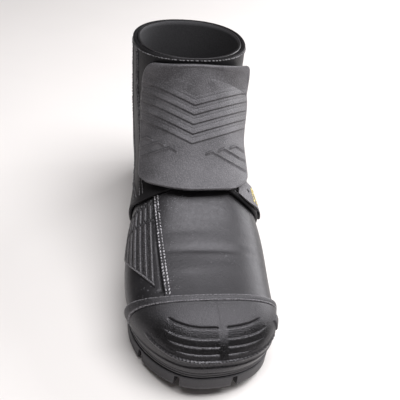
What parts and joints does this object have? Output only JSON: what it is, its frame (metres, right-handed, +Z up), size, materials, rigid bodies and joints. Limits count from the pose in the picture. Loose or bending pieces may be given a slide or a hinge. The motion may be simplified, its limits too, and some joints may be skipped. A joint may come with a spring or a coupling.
{
  "type": "welding boot",
  "caption": "Black leather ankle welding boot with a moulded toe cap, a stiff spark-guard flap over the instep, a ribbed side guard and a lugged rubber sole.",
  "frame": {"origin": "on the floor under the middle of the boot's box", "axes": "toe towards -Y, heel towards +Y, +X to the lateral side of this left boot, +Z up"},
  "size_m": [0.1246, 0.305, 0.1813],
  "materials": {
    "outsole": "moulded, matt",
    "midsole": "moulded, matt",
    "insole": "felt",
    "upper": "smooth black leather, semi-gloss",
    "quarters": "thick black leather, cut edges",
    "toe_cap": "moulded with a fine pebble grain",
    "toe_bead": "moulded, lightly worn",
    "flap": "moulded with a pebble grain, matt grey-black",
    "medial_panel": "moulded ribs",
    "side_strap": "woven webbing",
    "strap_ring": "black"
  },
  "bodies": {
    "root": {"outsole": "outsole", "midsole": "midsole", "insole": "insole", "upper": "upper", "quarters": "quarters", "toe_cap": "toe_cap", "toe_bead": "toe_bead", "flap": "flap", "medial_panel": "medial_panel", "side_strap": "side_strap", "strap_ring": "strap_ring"}
  },
  "joints": []
}
